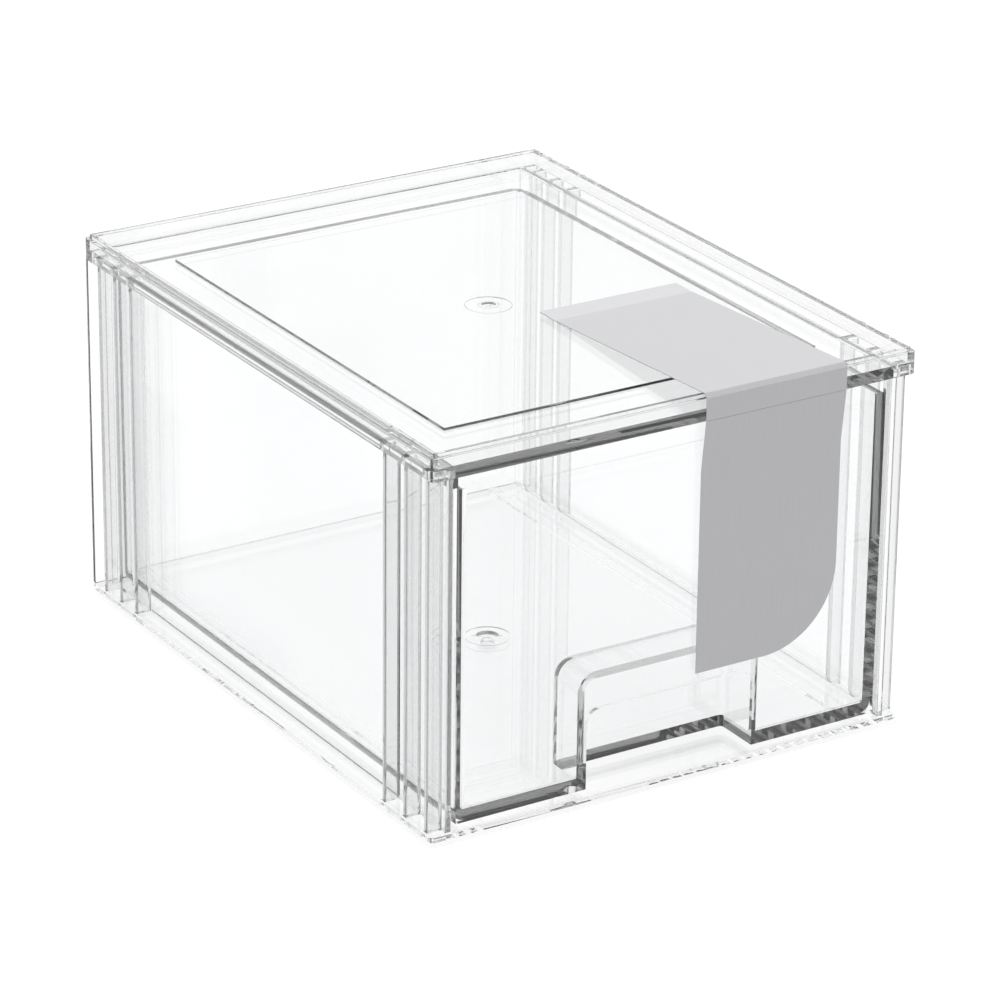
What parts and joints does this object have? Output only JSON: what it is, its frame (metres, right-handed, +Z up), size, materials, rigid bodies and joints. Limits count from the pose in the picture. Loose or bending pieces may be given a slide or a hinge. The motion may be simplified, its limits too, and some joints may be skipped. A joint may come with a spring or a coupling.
{
  "type": "stackable drawer box",
  "caption": "Clear rectangular box with a rimmed top for stacking and a pull-out drawer that opens by a finger recess in its front.",
  "frame": {"origin": "centre of the case's underside, on the surface it stands on", "axes": "+Z up, -Y towards the drawer's front, +X to the right as seen by a person facing the drawer"},
  "size_m": [0.15, 0.1902, 0.1102],
  "materials": {
    "clear_plastic": "polished, colourless, see-through",
    "silver_label": "satin silver film"
  },
  "bodies": {
    "case": {"top_panel": "clear_plastic", "base_panel": "clear_plastic", "left_side_panel": "clear_plastic", "right_side_panel": "clear_plastic", "back_panel": "clear_plastic", "label_top": "silver_label"},
    "drawer": {"drawer": "clear_plastic", "label_front": "silver_label"}
  },
  "joints": [
    {"name": "drawer_slide", "type": "slide", "parent": "case", "child": "drawer", "axis": [0, -1, 0], "range_m": [0, 0.14]}
  ]
}
